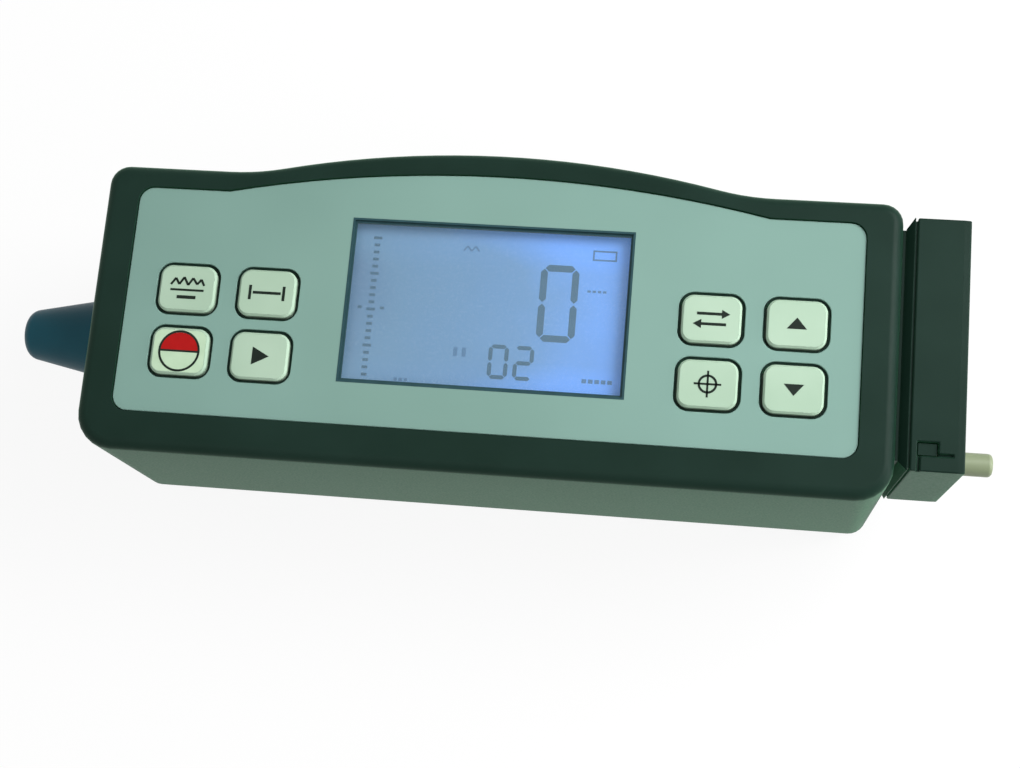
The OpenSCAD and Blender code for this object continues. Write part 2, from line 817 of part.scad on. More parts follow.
// Contact plates against both end walls of the bay
module battery_contacts() {
    color(steel_colour) for (i = [0 : 3]) for (x = [bay_x, bay_x + bay_l - contact_t])
        slab([x + contact_t / 2, y_mid + (i - 1.5) * cell_pitch, z_cell - contact_h / 2],
             [contact_t, contact_w, contact_h]);
}

// Folded chassis: deck and two end plates, with seats for motor, rods, bush and screws
module drive_chassis() {
    wide = chassis_y1 - chassis_y0;
    color(steel_colour) difference() {
        union() {
            translate([chassis_x0, chassis_y0, chassis_z]) cube([chassis_x1 - chassis_x0, wide, sheet_t]);
            for (x = [chassis_x0, chassis_x1 - sheet_t])
                translate([x, chassis_y0, chassis_z]) cube([sheet_t, wide, chassis_top - chassis_z]);
        }
        for (r = [rod_high, rod_low]) bar(chassis_x0 - eps, chassis_x1 + eps, r, rod_d + 2 * slip);
        bar(chassis_x0 - eps, chassis_x0 + sheet_t + eps, drive_axis, shaft_d + 2 * shaft_room);
        bar(chassis_x1 - sheet_t - eps, chassis_x1 + eps, drive_axis, bush_d + 2 * slip);
        for (s = [-1, 1])
            bar(chassis_x0 - eps, chassis_x0 + sheet_t + eps,
                [drive_y, drive_z + s * motor_bolt_r], bolt_hole);
        for (p = chassis_screw_at)
            translate([p.x, p.y, chassis_z - eps]) cylinder(d = bolt_hole, h = sheet_t + 2 * eps);
    }
}

module chassis_screws() {
    color(steel_colour) for (p = chassis_screw_at)
        translate([p.x, p.y, z_deck]) rotate([180, 0, 0]) bolt(chassis_bolt_l);
}

module drive_motor() {
    x1 = chassis_x0 - gearbox_l;
    color(steel_colour) {
        bar(x1 - motor_l, x1, drive_axis, motor_d);
        bar(x1 - motor_l - motor_boss_l, x1 - motor_l + eps, drive_axis, motor_boss_d);
    }
}

module motor_gearbox() {
    color(brass_colour) difference() {
        bar(chassis_x0 - gearbox_l, chassis_x0, drive_axis, motor_d);
        bar(chassis_x0 - shaft_in - bore_gap, chassis_x0 + eps, drive_axis, shaft_d + 2 * run);
        for (s = [-1, 1])
            bar(chassis_x0 - motor_bolt_in - pilot_over, chassis_x0 + eps,
                [drive_y, drive_z + s * motor_bolt_r], bolt_pilot);
    }
}

// Two screws through the end plate into the gearbox
module motor_screws() {
    color(steel_colour) for (s = [-1, 1])
        translate([chassis_x0 + sheet_t, drive_y, drive_z + s * motor_bolt_r]) rotate([0, -90, 0])
            bolt(sheet_t + motor_bolt_in);
}

module output_shaft() {
    color(steel_colour) bar(chassis_x0 - shaft_in, coupling_mid, drive_axis, shaft_d);
}

module shaft_coupling() {
    color(brass_colour) difference() {
        bar(coupling_x, coupling_x + coupling_l, drive_axis, coupling_d);
        bar(coupling_x - eps, coupling_mid + slip, drive_axis, shaft_d + 2 * slip);
        bar(coupling_mid, coupling_x + coupling_l + eps, drive_axis, screw_d + 2 * slip);
    }
}

module lead_screw() {
    color(steel_colour) bar(coupling_mid + screw_gap, chassis_x1 + screw_over, drive_axis, screw_d);
}

// Flanged bush for the lead screw's far end
module screw_bush() {
    color(brass_colour) difference() {
        union() {
            bar(chassis_x1 - sheet_t, chassis_x1, drive_axis, bush_d);
            bar(chassis_x1 - sheet_t - bush_flange_t, chassis_x1 - sheet_t, drive_axis, bush_flange_d);
        }
        bar(chassis_x1 - sheet_t - 2 * bush_flange_t, chassis_x1 + eps, drive_axis, screw_d + 2 * run);
    }
}

module guide_rods() {
    color(steel_colour) for (r = [rod_high, rod_low]) bar(chassis_x0, chassis_x1, r, rod_d);
}

// Carriage on both rods, with the nut's seat and the pickup holder's socket
module carriage() {
    color(polymer_colour) difference() {
        translate([carriage_x, carriage_y0, carriage_z0])
            cube([carriage_l, carriage_y1 - carriage_y0, carriage_z1 - carriage_z0]);
        for (r = [rod_high, rod_low])
            bar(carriage_x - eps, carriage_x + carriage_l + eps, r, rod_d + 2 * run);
        bar(carriage_x - eps, carriage_x + carriage_l + eps, drive_axis, screw_d + 2 * screw_room);
        bar(nut_x, carriage_x + carriage_l + eps, drive_axis, nut_d + 2 * slip);
        bar(carriage_x + carriage_l - holder_in, carriage_x + carriage_l + eps, pickup_axis,
            probe_d + 2 * slip);
        translate([carriage_x - eps, relief_y, carriage_z0 + relief_up])
            cube([carriage_l + 2 * eps, relief_w, carriage_z1]);
    }
}

module lead_nut() {
    color(brass_colour) difference() {
        bar(nut_x, nut_x + nut_l, drive_axis, nut_d);
        bar(carriage_x, carriage_x + carriage_l, drive_axis, screw_d + 2 * run);
    }
}

// Switch on the deck that senses the carriage at its start
module home_switch() {
    color(chip_colour) translate([carriage_x - switch_size.x - switch_gap, switch_y, z_deck])
        cube(switch_size);
}

// Collar that clamps the pickup in the carriage
module pickup_holder() {
    x = carriage_x + carriage_l;
    color(brass_colour) difference() {
        union() {
            bar(x - holder_in, x, pickup_axis, probe_d);
            bar(x, x + holder_l, pickup_axis, holder_d);
        }
        bar(x - holder_in - eps, x + holder_l + eps, pickup_axis, probe_d - 2 * holder_wall + 2 * slip);
    }
}

module pickup_body() {
    x = carriage_x + carriage_l;
    color(steel_colour) difference() {
        union() {
            bar(x - holder_in + holder_wall, probe_x + eps, pickup_axis, probe_d - 2 * holder_wall);
            bar(probe_x, tube_x, pickup_axis, probe_d);
        }
        bar(tube_x - tube_in, tube_x + eps, pickup_axis, tube_d + 2 * slip);
    }
}

// Nose tube with a rounded tip and the stylus hole underneath
module pickup_tube() {
    l = tube_tip_x - tube_x + tube_in;
    r = tube_d / 2;
    profile = concat(
        [[tube_bore_d / 2, 0], [r, 0]],
        arc([r - tube_tip_r, l - tube_tip_r], tube_tip_r, 0, 90, 6),
        [[0, l], [0, l - tip_wall], [tube_bore_d / 2, l - tip_wall]]
    );
    color(ivory_colour) difference() {
        translate([tube_x - tube_in, pickup_y, pickup_z]) rotate([0, 90, 0])
            rotate_extrude() polygon(profile);
        translate([stylus_x, pickup_y, pickup_z]) rotate([90, 0, 0])
            cylinder(d = stylus_d + 2 * run, h = tube_d);
    }
}

// Shoe beside the stylus that rides on the work
module pickup_skid() {
    color(steel_colour) difference() {
        translate([stylus_x - skid_back - skid_l, pickup_y - tube_d / 2 - skid_drop, pickup_z - skid_w / 2])
            cube([skid_l, skid_drop + part_gap, skid_w]);
        bar(stylus_x - 2 * skid_back - skid_l, stylus_x, pickup_axis, tube_d + 2 * slip);
    }
}

// Lever inside the tube with its fulcrum collar
module stylus_lever() {
    color(steel_colour) {
        bar(stylus_x - lever_l, stylus_x + skid_back, pickup_axis, lever_d);
        bar(stylus_x - lever_l, stylus_x - lever_l + fulcrum_l, pickup_axis, tube_bore_d - 2 * slip);
    }
}

module stylus() {
    reach = tube_d / 2 + skid_drop + stylus_proud;
    color(steel_colour) difference() {
        translate([stylus_x, pickup_y, pickup_z]) rotate([90, 0, 0]) {
            cylinder(d = stylus_d, h = reach - stylus_cone_l);
            translate([0, 0, reach - stylus_cone_l])
                cylinder(d1 = stylus_d, d2 = stylus_point_d, h = stylus_cone_l);
        }
        bar(stylus_x - stylus_d, stylus_x + stylus_d, pickup_axis, lever_d + 2 * slip);
    }
}

// Ring in the end wall that wipes the nose tube
module pickup_wiper() {
    color(polymer_colour) difference() {
        bar(half_l - pad_in, half_l, pickup_axis, wiper_d);
        bar(half_l - pad_in - eps, half_l + eps, pickup_axis, tube_d + 2 * run);
    }
}

// Plate of the guard's outline, inset all round, between two X planes
module guard_plate(x0, x1, inset) {
    translate([x0, guard_y0 + inset, guard_z0 + inset])
        cube([x1 - x0, guard_y1 - guard_y0 - 2 * inset, guard_z1 - guard_z0 - 2 * inset]);
}

// Keyhole for the nose tube and the shoe under it
module keyhole(x0, x1) {
    drop = tube_d / 2 + skid_drop + skid_room;
    bar(x0, x1, pickup_axis, tube_d + 2 * tube_room);
    translate([x0, pickup_y - drop, pickup_z - skid_w / 2 - skid_room])
        cube([x1 - x0, drop, skid_w + 2 * skid_room]);
}

// Guard base: neck, bevelled flange, groove and the spigot with its snap tab
module guard_base() {
    spigot_inset = guard_t + lip_gap;
    tab_z = guard_z1 - guard_t - lip_gap - tab_t;
    color(case_colour) difference() {
        union() {
            guard_plate(half_l, guard_x0 + eps, neck_inset);
            hull() {
                guard_plate(guard_x0, guard_x0 + thin, flange_bevel);
                guard_plate(guard_x1 - thin, guard_x1, 0);
            }
            guard_plate(guard_x1 - thin, guard_x2, groove_inset);
            difference() {
                guard_plate(guard_x2 - thin, guard_x2 + spigot_l, spigot_inset);
                guard_plate(guard_x2, guard_x2 + spigot_l + eps, spigot_inset + spigot_t);
            }
            translate([guard_x2 - thin, latch_y0 + latch_gap, tab_z])
                cube([latch_x1 - latch_gap - guard_x2 + thin, tab_w, tab_t]);
            translate([latch_x0 + latch_gap, latch_y0 + latch_gap, tab_z])
                cube([latch_x1 - latch_x0 - 2 * latch_gap, tab_w, tab_t + lip_gap + catch_h]);
        }
        bar(half_l - eps, guard_x2 + spigot_l + eps, pickup_axis, tube_d + 2 * tube_room);
        for (p = guard_screw_at) {
            bar(half_l - eps, guard_x2 + eps, p, bolt_hole);
            bar(guard_x1, guard_x2 + eps, p, sink_d);
        }
    }
}

// Guard cover: hollow block, open towards the flange, with the latch window, its slits and the keyhole
module guard_cover() {
    color(case_colour) difference() {
        hull() {
            guard_plate(guard_x2, guard_x3 - cover_bevel, 0);
            guard_plate(guard_x3 - thin, guard_x3, cover_bevel);
        }
        guard_plate(guard_x2 - eps, guard_x3 - guard_t, guard_t);
        keyhole(guard_x3 - guard_t - eps, guard_x3 + eps);
        translate([latch_x0, latch_y0, guard_z1 - guard_t - eps])
            cube([latch_x1 - latch_x0, latch_y1 - latch_y0, guard_t + 2 * eps]);
        translate([latch_x1 - eps, latch_y0, guard_z1 - slit_d]) cube([slit_l + eps, slit_w, slit_d + eps]);
        translate([latch_x0, guard_y0 - eps, guard_z1 - slit_d])
            cube([slit_w, latch_up + 2 * eps, slit_d + eps]);
    }
}

module guard_screws() {
    color(steel_colour) for (p = guard_screw_at)
        translate([guard_x1, p.x, p.y]) rotate([0, -90, 0]) bolt(guard_bolt_l);
}

// Smooth tapered knob with a rounded tip and a blind spindle bore
module end_knob() {
    r0 = knob_base_d / 2;
    tip = [knob_tip_d / 2 - knob_round_r, knob_l - knob_round_r];
    run_in = [r0, 0] - tip;
    tangent_a = atan2(run_in.y, run_in.x) + acos(knob_round_r / norm(run_in));
    profile = concat(
        [[0, knob_bore_l], [spindle_d / 2 + slip, knob_bore_l], [spindle_d / 2 + slip, 0], [r0, 0]],
        arc(tip, knob_round_r, tangent_a, 90, 8),
        [[0, knob_l]]
    );
    color(knob_colour) translate([knob_x, knob_y, knob_z]) rotate([0, -90, 0])
        rotate_extrude() polygon(profile);
}

module knob_spindle() {
    x1 = -half_l + knob_bush_l + clip_gap + clip_t + spindle_over;
    color(steel_colour) bar(knob_x - knob_bore_l + bore_gap, x1, knob_axis, spindle_d);
}

module spindle_clip() {
    x = -half_l + knob_bush_l + clip_gap;
    color(steel_colour) difference() {
        bar(x, x + clip_t, knob_axis, clip_d);
        bar(x - eps, x + clip_t + eps, knob_axis, spindle_d + 2 * slip);
    }
}

module knob_bush() {
    color(brass_colour) difference() {
        bar(-half_l, -half_l + knob_bush_l, knob_axis, spindle_d + 2 * bush_wall);
        bar(-half_l - eps, -half_l + knob_bush_l + eps, knob_axis, spindle_d + 2 * run);
    }
}

front_cover();
rear_case();
panel_overlay();
lcd_window();
lcd_glass();
lcd_frame();
lcd_backlight();
lcd_connectors();
main_board();
board_chips();
board_screws();
switch_domes();
key_parameter();
key_cutoff();
key_power();
key_start();
key_unit();
key_up();
key_calibrate();
key_down();
case_screws();
battery_door();
battery_cell_1();
battery_cell_2();
battery_cell_3();
battery_cell_4();
battery_contacts();
drive_chassis();
chassis_screws();
drive_motor();
motor_gearbox();
motor_screws();
output_shaft();
shaft_coupling();
lead_screw();
screw_bush();
guide_rods();
carriage();
lead_nut();
home_switch();
pickup_holder();
pickup_body();
pickup_tube();
pickup_skid();
stylus_lever();
stylus();
pickup_wiper();
guard_base();
guard_cover();
guard_screws();
end_knob();
knob_spindle();
spindle_clip();
knob_bush();
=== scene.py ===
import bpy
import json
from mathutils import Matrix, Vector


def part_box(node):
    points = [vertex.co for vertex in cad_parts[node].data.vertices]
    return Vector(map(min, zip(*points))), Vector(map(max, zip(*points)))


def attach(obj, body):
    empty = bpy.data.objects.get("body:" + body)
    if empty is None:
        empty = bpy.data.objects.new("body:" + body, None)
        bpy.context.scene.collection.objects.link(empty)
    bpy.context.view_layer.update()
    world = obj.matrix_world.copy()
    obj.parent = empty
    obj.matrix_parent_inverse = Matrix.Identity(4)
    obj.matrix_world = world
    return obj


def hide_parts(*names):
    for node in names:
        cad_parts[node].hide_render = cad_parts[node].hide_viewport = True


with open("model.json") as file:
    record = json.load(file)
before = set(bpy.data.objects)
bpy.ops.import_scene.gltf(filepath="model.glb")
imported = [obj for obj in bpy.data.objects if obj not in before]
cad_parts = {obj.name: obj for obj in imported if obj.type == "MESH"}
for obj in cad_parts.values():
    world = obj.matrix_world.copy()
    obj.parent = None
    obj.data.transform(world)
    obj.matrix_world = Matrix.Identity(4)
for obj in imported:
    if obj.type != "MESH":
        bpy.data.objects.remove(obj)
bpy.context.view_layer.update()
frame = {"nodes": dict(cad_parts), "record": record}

import json
import math

import bmesh
import bpy
from mathutils import Vector

MM = 0.001
record = frame["record"]
slot_of = {part["node"]: part["material_slot"] for part in record["subparts"]}
body_of = {node: body for body, group in record["behaviour"]["bodies"].items() for node in group}

# Heights over the back face, in millimetres
PANEL_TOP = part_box("panel_overlay")[1].z / MM
GLASS_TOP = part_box("lcd_glass")[1].z / MM
WINDOW_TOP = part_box("lcd_window")[1].z / MM

# How much wider and higher the window's pane is than its opening, in millimetres
WINDOW_LIP = 2.3

# Plates, in millimetres: the thickness of print, and the widths of the window's dark border, dark edge and
# mask
PRINT_T = 0.03
BORDER = 0.32
BORDER_EDGE = 0.06
MASK_W = 0.45

# Grain of the surfaces: depth of its bumps, and how far it shifts the roughness
GRAIN_DEPTH = 0.1 * MM
ROUGH_SHIFT = 0.05

# Painted light on the display, lighter and bluer towards its right where the key light falls: half its
# width, and how far from the X axis its blue edges start and end
PAINTED_LIGHT_HALF = 25.5 * MM
EDGE_START = 8 * MM
EDGE_END = 15 * MM


# Materials

def linear(red, green, blue):
    """Linear colour from screen values of 0 to 255."""
    return tuple(((c / 255 + 0.055) / 1.055) ** 2.4 for c in (red, green, blue)) + (1.0,)


def noise(tree, vector, scale, detail):
    """Noise texture's height at a scale in cycles per metre."""
    made = tree.nodes.new("ShaderNodeTexNoise")
    made.inputs["Scale"].default_value = scale
    made.inputs["Detail"].default_value = detail
    tree.links.new(vector, made.inputs["Vector"])
    return made.outputs["Fac"]


def ramp(tree, factor, stops):
    """Colour that follows a factor through stops of (place, screen colour)."""
    made = tree.nodes.new("ShaderNodeValToRGB")
    elements = made.color_ramp.elements
    while len(elements) < len(stops):
        elements.new(0.5)
    for element, (place, colour) in zip(elements, stops):
        element.position = place
        element.color = linear(*colour)
    tree.links.new(factor, made.inputs["Fac"])
    return made.outputs["Color"]


def spread(tree, value, low, high, start=0.3, end=0.7):
    """A value mapped from start..end to low..high."""
    made = tree.nodes.new("ShaderNodeMapRange")
    made.inputs["From Min"].default_value = start
    made.inputs["From Max"].default_value = end
    made.inputs["To Min"].default_value = low
    made.inputs["To Max"].default_value = high
    tree.links.new(value, made.inputs["Value"])
    return made.outputs["Result"]


def grained(name, rough, grain=2600, bump=0.06, metal=0.0, gloss=0.5, stretch=(1, 1, 1)):
    """Material whose roughness and height follow a fine grain, and the place that its colour can follow."""
    material = bpy.data.materials.new(name)
    material.use_nodes = True
    tree = material.node_tree
    shader = tree.nodes["Principled BSDF"]
    place = tree.nodes.new("ShaderNodeTexCoord")
    mapping = tree.nodes.new("ShaderNodeMapping")
    mapping.inputs["Scale"].default_value = stretch
    tree.links.new(place.outputs["Object"], mapping.inputs["Vector"])
    fine = noise(tree, mapping.outputs["Vector"], grain, 2)
    height = tree.nodes.new("ShaderNodeBump")
    height.inputs["Strength"].default_value = bump
    height.inputs["Distance"].default_value = GRAIN_DEPTH
    tree.links.new(fine, height.inputs["Height"])
    tree.links.new(height.outputs["Normal"], shader.inputs["Normal"])
    roughness = spread(tree, fine, rough - ROUGH_SHIFT, rough + ROUGH_SHIFT)
    tree.links.new(roughness, shader.inputs["Roughness"])
    shader.inputs["Metallic"].default_value = metal
    shader.inputs["Specular IOR Level"].default_value = gloss
    return material, mapping.outputs["Vector"]


def surface(name, dark, light, rough, patch=55, **finish):
    """Grained material whose colour shifts in broad patches."""
    material, place = grained(name, rough, **finish)
    tree = material.node_tree
    broad = noise(tree, place, patch, 3)
    colour = ramp(tree, broad, [(0.25, dark), (0.75, light)])
    tree.links.new(colour, tree.nodes["Principled BSDF"].inputs["Base Color"])
    return material


def metal_surface(name, dark, light, rough):
    """Turned or drawn metal, with a grain that runs across Z."""
    return surface(name, dark, light, rough, grain=900, metal=1.0, stretch=(1, 1, 6))


def ink_surface(name, dark, light, rough, gloss):
    """Printed ink whose colour shifts in small patches."""
    return surface(name, dark, light, rough, patch=400, gloss=gloss)


def case_surface(name):
    """Dark green moulded plastic with a fine grain and a soft green sheen at low angles."""
    material = surface(name, (19, 38, 31), (26, 46, 39), 0.44, gloss=0.07)
    shader = material.node_tree.nodes["Principled BSDF"]
    shader.inputs["Sheen Weight"].default_value = 0.24
    shader.inputs["Sheen Roughness"].default_value = 0.4
    shader.inputs["Sheen Tint"].default_value = linear(100, 205, 140)
    return material


def display_surface(name):
    """Backlit display with painted light: lighter and bluer to the right where the key light falls, and
    bluer along its long edges, partly as painted shade of the window's wall and partly as glow; with a faint
    mottle and its own glow.
    """
    material, place = grained(name, 0.25, bump=0.01)
    tree = material.node_tree
    shader = tree.nodes["Principled BSDF"]
    axes = tree.nodes.new("ShaderNodeSeparateXYZ")
    tree.links.new(place, axes.inputs["Vector"])
    # Painted light: the colour turns lighter and bluer across X towards the key light on the right
    across = spread(tree, axes.outputs["X"], 0.0, 0.85, -PAINTED_LIGHT_HALF, PAINTED_LIGHT_HALF)
    height = tree.nodes.new("ShaderNodeMath")
    height.operation = "ABSOLUTE"
    tree.links.new(axes.outputs["Y"], height.inputs[0])
    # Bluer along the long edges: partly painted shade from the window's wall, partly glow
    edges = spread(tree, height.outputs["Value"], 0.0, 0.25, EDGE_START, EDGE_END)
    brightening = tree.nodes.new("ShaderNodeMath")
    tree.links.new(across, brightening.inputs[0])
    tree.links.new(edges, brightening.inputs[1])
    mottle = noise(tree, place, 70, 2)
    shift = tree.nodes.new("ShaderNodeMath")
    shift.operation = "MULTIPLY_ADD"
    shift.inputs[1].default_value = 0.25
    tree.links.new(mottle, shift.inputs[0])
    tree.links.new(brightening.outputs["Value"], shift.inputs[2])
    stops = [(0.1, (82, 114, 146)), (0.3, (94, 132, 163)), (0.65, (97, 139, 182)), (1.0, (104, 163, 250))]
    colour = ramp(tree, shift.outputs["Value"], stops)
    tree.links.new(colour, shader.inputs["Base Color"])
    # The painted light and shade also go into the display's glow
    tree.links.new(colour, shader.inputs["Emission Color"])
    shader.inputs["Emission Strength"].default_value = 0.15
    return material


def clear_surface(name):
    """Clear polished window: thin tint, low opacity and a faint variation of its polish."""
    material = surface(name, (150, 180, 205), (165, 195, 215), 0.08, bump=0.005)
    material.node_tree.nodes["Principled BSDF"].inputs["Alpha"].default_value = 0.12
    return material


slots = {
    "case_plastic": case_surface("case_plastic"),
    "panel_film": surface("panel_film", (116, 149, 139), (126, 160, 150), 0.55,
                          patch=22, gloss=0.22, grain=5000, bump=0.03),
    "key_plastic": surface("key_plastic", (156, 183, 160), (172, 197, 175), 0.5, gloss=0.22, bump=0.04),
    "window_clear": clear_surface("window_clear"),
    "display_glass": display_surface("display_glass"),
    "light_guide": surface("light_guide", (215, 218, 222), (232, 234, 238), 0.6),
    "inner_plastic": surface("inner_plastic", (52, 54, 56), (66, 68, 70), 0.55),
    "board_laminate": surface("board_laminate", (24, 72, 42), (36, 92, 54), 0.45, patch=220),
    "chip_plastic": surface("chip_plastic", (26, 26, 28), (36, 36, 38), 0.55),
    "steel": metal_surface("steel", (150, 152, 155), (182, 184, 187), 0.28),
    "brass": metal_surface("brass", (176, 142, 74), (204, 170, 100), 0.3),
    "cell_jacket": surface("cell_jacket", (44, 50, 58), (60, 68, 78), 0.35),
    "nose_plastic": surface("nose_plastic", (114, 126, 94), (131, 142, 112), 0.45),
    "knob_plastic": surface("knob_plastic", (14, 66, 78), (22, 80, 94), 0.42, gloss=0.16),
}
ink = ink_surface("legend_ink", (14, 24, 18), (22, 34, 27), 0.5, 0.15)
ink_red = ink_surface("legend_red", (154, 4, 4), (170, 12, 12), 0.5, 0.2)
ink_pale = ink_surface("legend_pale", (176, 203, 172), (188, 214, 184), 0.5, 0.22)
segment_ink = ink_surface("segment_ink", (42, 78, 98), (54, 90, 112), 0.4, 0.2)
faint_ink = ink_surface("faint_ink", (66, 106, 142), (78, 118, 156), 0.4, 0.2)
window_dark = ink_surface("window_mask", (32, 62, 66), (42, 74, 80), 0.4, 0.2)
for node, piece in frame["nodes"].items():
    piece.data.materials.clear()
    piece.data.materials.append(slots[slot_of[node]])


# Pieces that stand for CAD nodes

# Points closer than the gap are merged, and faces that meet within the angle are joined
MERGE_GAP = 0.002 * MM
FLAT_ANGLE = math.radians(0.4)


def soften(piece, angle, bevel, steps):
    """Rounds sharp edges a little and keeps flat faces flat under smooth shading."""
    mesh = piece.data
    for polygon in mesh.polygons:
        polygon.use_smooth = True
    mesh.set_sharp_from_angle(angle=math.radians(angle))
    if bevel > 0:
        rounding = piece.modifiers.new("rounding", "BEVEL")
        rounding.width = bevel * MM
        rounding.segments = steps
        rounding.limit_method = "ANGLE"
        rounding.angle_limit = math.radians(angle)
        rounding.harden_normals = True
        rounding.use_clamp_overlap = True
    weighted = piece.modifiers.new("weighted", "WEIGHTED_NORMAL")
    weighted.keep_sharp = True


def skin(node, angle=35, bevel=0.0, steps=2):
    """Smooth copy of a CAD node's mesh, with its flat faces joined, in place of the node."""
    mesh = frame["nodes"][node].data.copy()
    cleaner = bmesh.new()
    cleaner.from_mesh(mesh)
    bmesh.ops.remove_doubles(cleaner, verts=cleaner.verts, dist=MERGE_GAP)
    bmesh.ops.dissolve_limit(cleaner, angle_limit=FLAT_ANGLE, verts=cleaner.verts, edges=cleaner.edges)
    cleaner.to_mesh(mesh)
    cleaner.free()
    if "custom_normal" in mesh.attributes:
        mesh.attributes.remove(mesh.attributes["custom_normal"])
    piece = bpy.data.objects.new(node + "_skin", mesh)
    bpy.context.scene.collection.objects.link(piece)
    soften(piece, angle, bevel, steps)
    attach(piece, body_of[node])
    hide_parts(node)
    return piece


keys = [node for node in frame["nodes"] if node.startswith("key_")]
skin("front_cover", angle=40)
skin("rear_case", angle=40)
skin("panel_overlay", bevel=0.12)
skin("end_knob", bevel=0.25, steps=3)
skin("guard_base", bevel=0.2)
guard_end = skin("guard_cover", bevel=0.25)
skin("pickup_tube", bevel=0.1)
skin("battery_door", bevel=0.2)
for node in keys:
    skin(node, bevel=0.18, steps=3)

# The guard's block keeps nearly square edges up to its end face
END_TAPER = 1.15 * MM
NEAR = 0.01 * MM
end_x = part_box("guard_cover")[1].x
end_points = [vertex.co for vertex in guard_end.data.vertices if vertex.co.x > end_x - NEAR]
for axis in (1, 2):
    low_edge = min(point[axis] for point in end_points)
    high_edge = max(point[axis] for point in end_points)
    for point in end_points:
        if abs(point[axis] - low_edge) < NEAR:
            point[axis] -= END_TAPER
        elif abs(point[axis] - high_edge) < NEAR:
            point[axis] += END_TAPER


# Printed marks and display segments, as thin plates

def plates(name, polygons, low, material, body, thick=PRINT_T):
    """One mesh of thin prisms over 2-D outlines in millimetres, standing on a height."""
    mesh = bpy.data.meshes.new(name)
    verts = []
    faces = []
    for outline in polygons:
        n = len(outline)
        first = len(verts)
        verts += [(x * MM, y * MM, z * MM) for z in (low, low + thick) for x, y in outline]
        faces.append([first + n - 1 - i for i in range(n)])
        faces.append([first + n + i for i in range(n)])
        for i in range(n):
            j = (i + 1) % n
            faces.append([first + i, first + j, first + n + j, first + n + i])
    mesh.from_pydata(verts, [], faces)
    piece = bpy.data.objects.new(name, mesh)
    bpy.context.scene.collection.objects.link(piece)
    mesh.materials.append(material)
    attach(piece, body)


def rectangle(x, y, w, h):
    """Outline of a rectangle round its centre."""
    left, right = x - w / 2, x + w / 2
    low, high = y - h / 2, y + h / 2
    return [(left, low), (right, low), (right, high), (left, high)]


def row(x, y, w, h, step, count):
    """A row of equal rectangles, from the first one's centre."""
    return [rectangle(x + step * i, y, w, h) for i in range(count)]


def rounded(w, h, r, steps=6):
    """Outline of a rectangle with round corners, round the origin."""
    outline = []
    for quarter, (sx, sy) in enumerate(((1, 1), (-1, 1), (-1, -1), (1, -1))):
        x, y = sx * (w / 2 - r), sy * (h / 2 - r)
        for step in range(steps + 1):
            turn = math.radians(90 * (quarter + step / steps))
            outline.append((x + r * math.cos(turn), y + r * math.sin(turn)))
    return outline


def frame_bars(x, y, w, h, t):
    """Four bars of a rectangular frame, inside w by h."""
    across = [rectangle(x, y + s * (h - t) / 2, w, t) for s in (-1, 1)]
    upright = [rectangle(x + s * (w - t) / 2, y, t, h - 2 * t) for s in (-1, 1)]
    return across + upright


def ring(inner, outer, steps=24):
    """Quads of a flat ring round the origin."""
    turns = [math.radians(360 * i / steps) for i in range(steps + 1)]
    spots = [(math.cos(a), math.sin(a)) for a in turns]
    return [[(inner * a[0], inner * a[1]), (outer * a[0], outer * a[1]),
             (outer * b[0], outer * b[1]), (inner * b[0], inner * b[1])]
            for a, b in zip(spots, spots[1:])]


def stroke(points, t):
    """Quads of a line of thickness t through points."""
    quads = []
    for (x0, y0), (x1, y1) in zip(points, points[1:]):
        length = math.hypot(x1 - x0, y1 - y0)
        nx, ny = -(y1 - y0) / length * t / 2, (x1 - x0) / length * t / 2
        quads.append([(x0 - nx, y0 - ny), (x1 - nx, y1 - ny), (x1 + nx, y1 + ny), (x0 + nx, y0 + ny)])
    return quads


# Segments of each digit, and the gap between them as a share of their thickness
SEGMENTS = {"0": "abcdef", "2": "abged"}
SEGMENT_GAP = 0.12


def digit(char, x, y, w, h, t):
    """Seven-segment digit with its lower left corner at x, y."""
    gap = t * SEGMENT_GAP
    half = h / 2
    across = {"a": h - t / 2, "g": half, "d": t / 2}
    upright = {"f": (t / 2, half), "b": (w - t / 2, half), "e": (t / 2, 0), "c": (w - t / 2, 0)}
    made = []
    for name in SEGMENTS[char]:
        if name in across:
            v = across[name]
            bar = [(t / 2 + gap, v), (t + gap, v + t / 2), (w - t - gap, v + t / 2),
                   (w - t / 2 - gap, v), (w - t - gap, v - t / 2), (t + gap, v - t / 2)]
        else:
            u, base = upright[name]
            top = base + half
            foot = base + (t / 2 if base == 0 else 0)
            head = top - (t / 2 if base > 0 else 0)
            bar = [(u, foot + gap), (u + t / 2, foot + t / 2 + gap), (u + t / 2, head - t / 2 - gap),
                   (u, head - gap), (u - t / 2, head - t / 2 - gap), (u - t / 2, foot + t / 2 + gap)]
        made.append([(x + u, y + v) for u, v in bar])
    return made


# Window: dark bands on the pane, on the panel round the opening, and on the opening's wall between them
window_low, window_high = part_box("lcd_window")
window_w = (window_high.x - window_low.x) / MM - WINDOW_LIP
window_h = (window_high.y - window_low.y) / MM - WINDOW_LIP
window_y = (window_high.y + window_low.y) / 2 / MM
mask_bars = frame_bars(0, window_y, window_w, window_h, MASK_W)
border_bars = frame_bars(0, window_y, window_w + 2 * BORDER, window_h + 2 * BORDER, BORDER)
edge_bars = frame_bars(0, window_y, window_w, window_h, BORDER_EDGE)
plates("window_mask", mask_bars, WINDOW_TOP, window_dark, "case")
plates("window_border", border_bars, PANEL_TOP, window_dark, "case")
plates("window_edge", edge_bars, WINDOW_TOP + PRINT_T, window_dark, "case", PANEL_TOP - WINDOW_TOP)

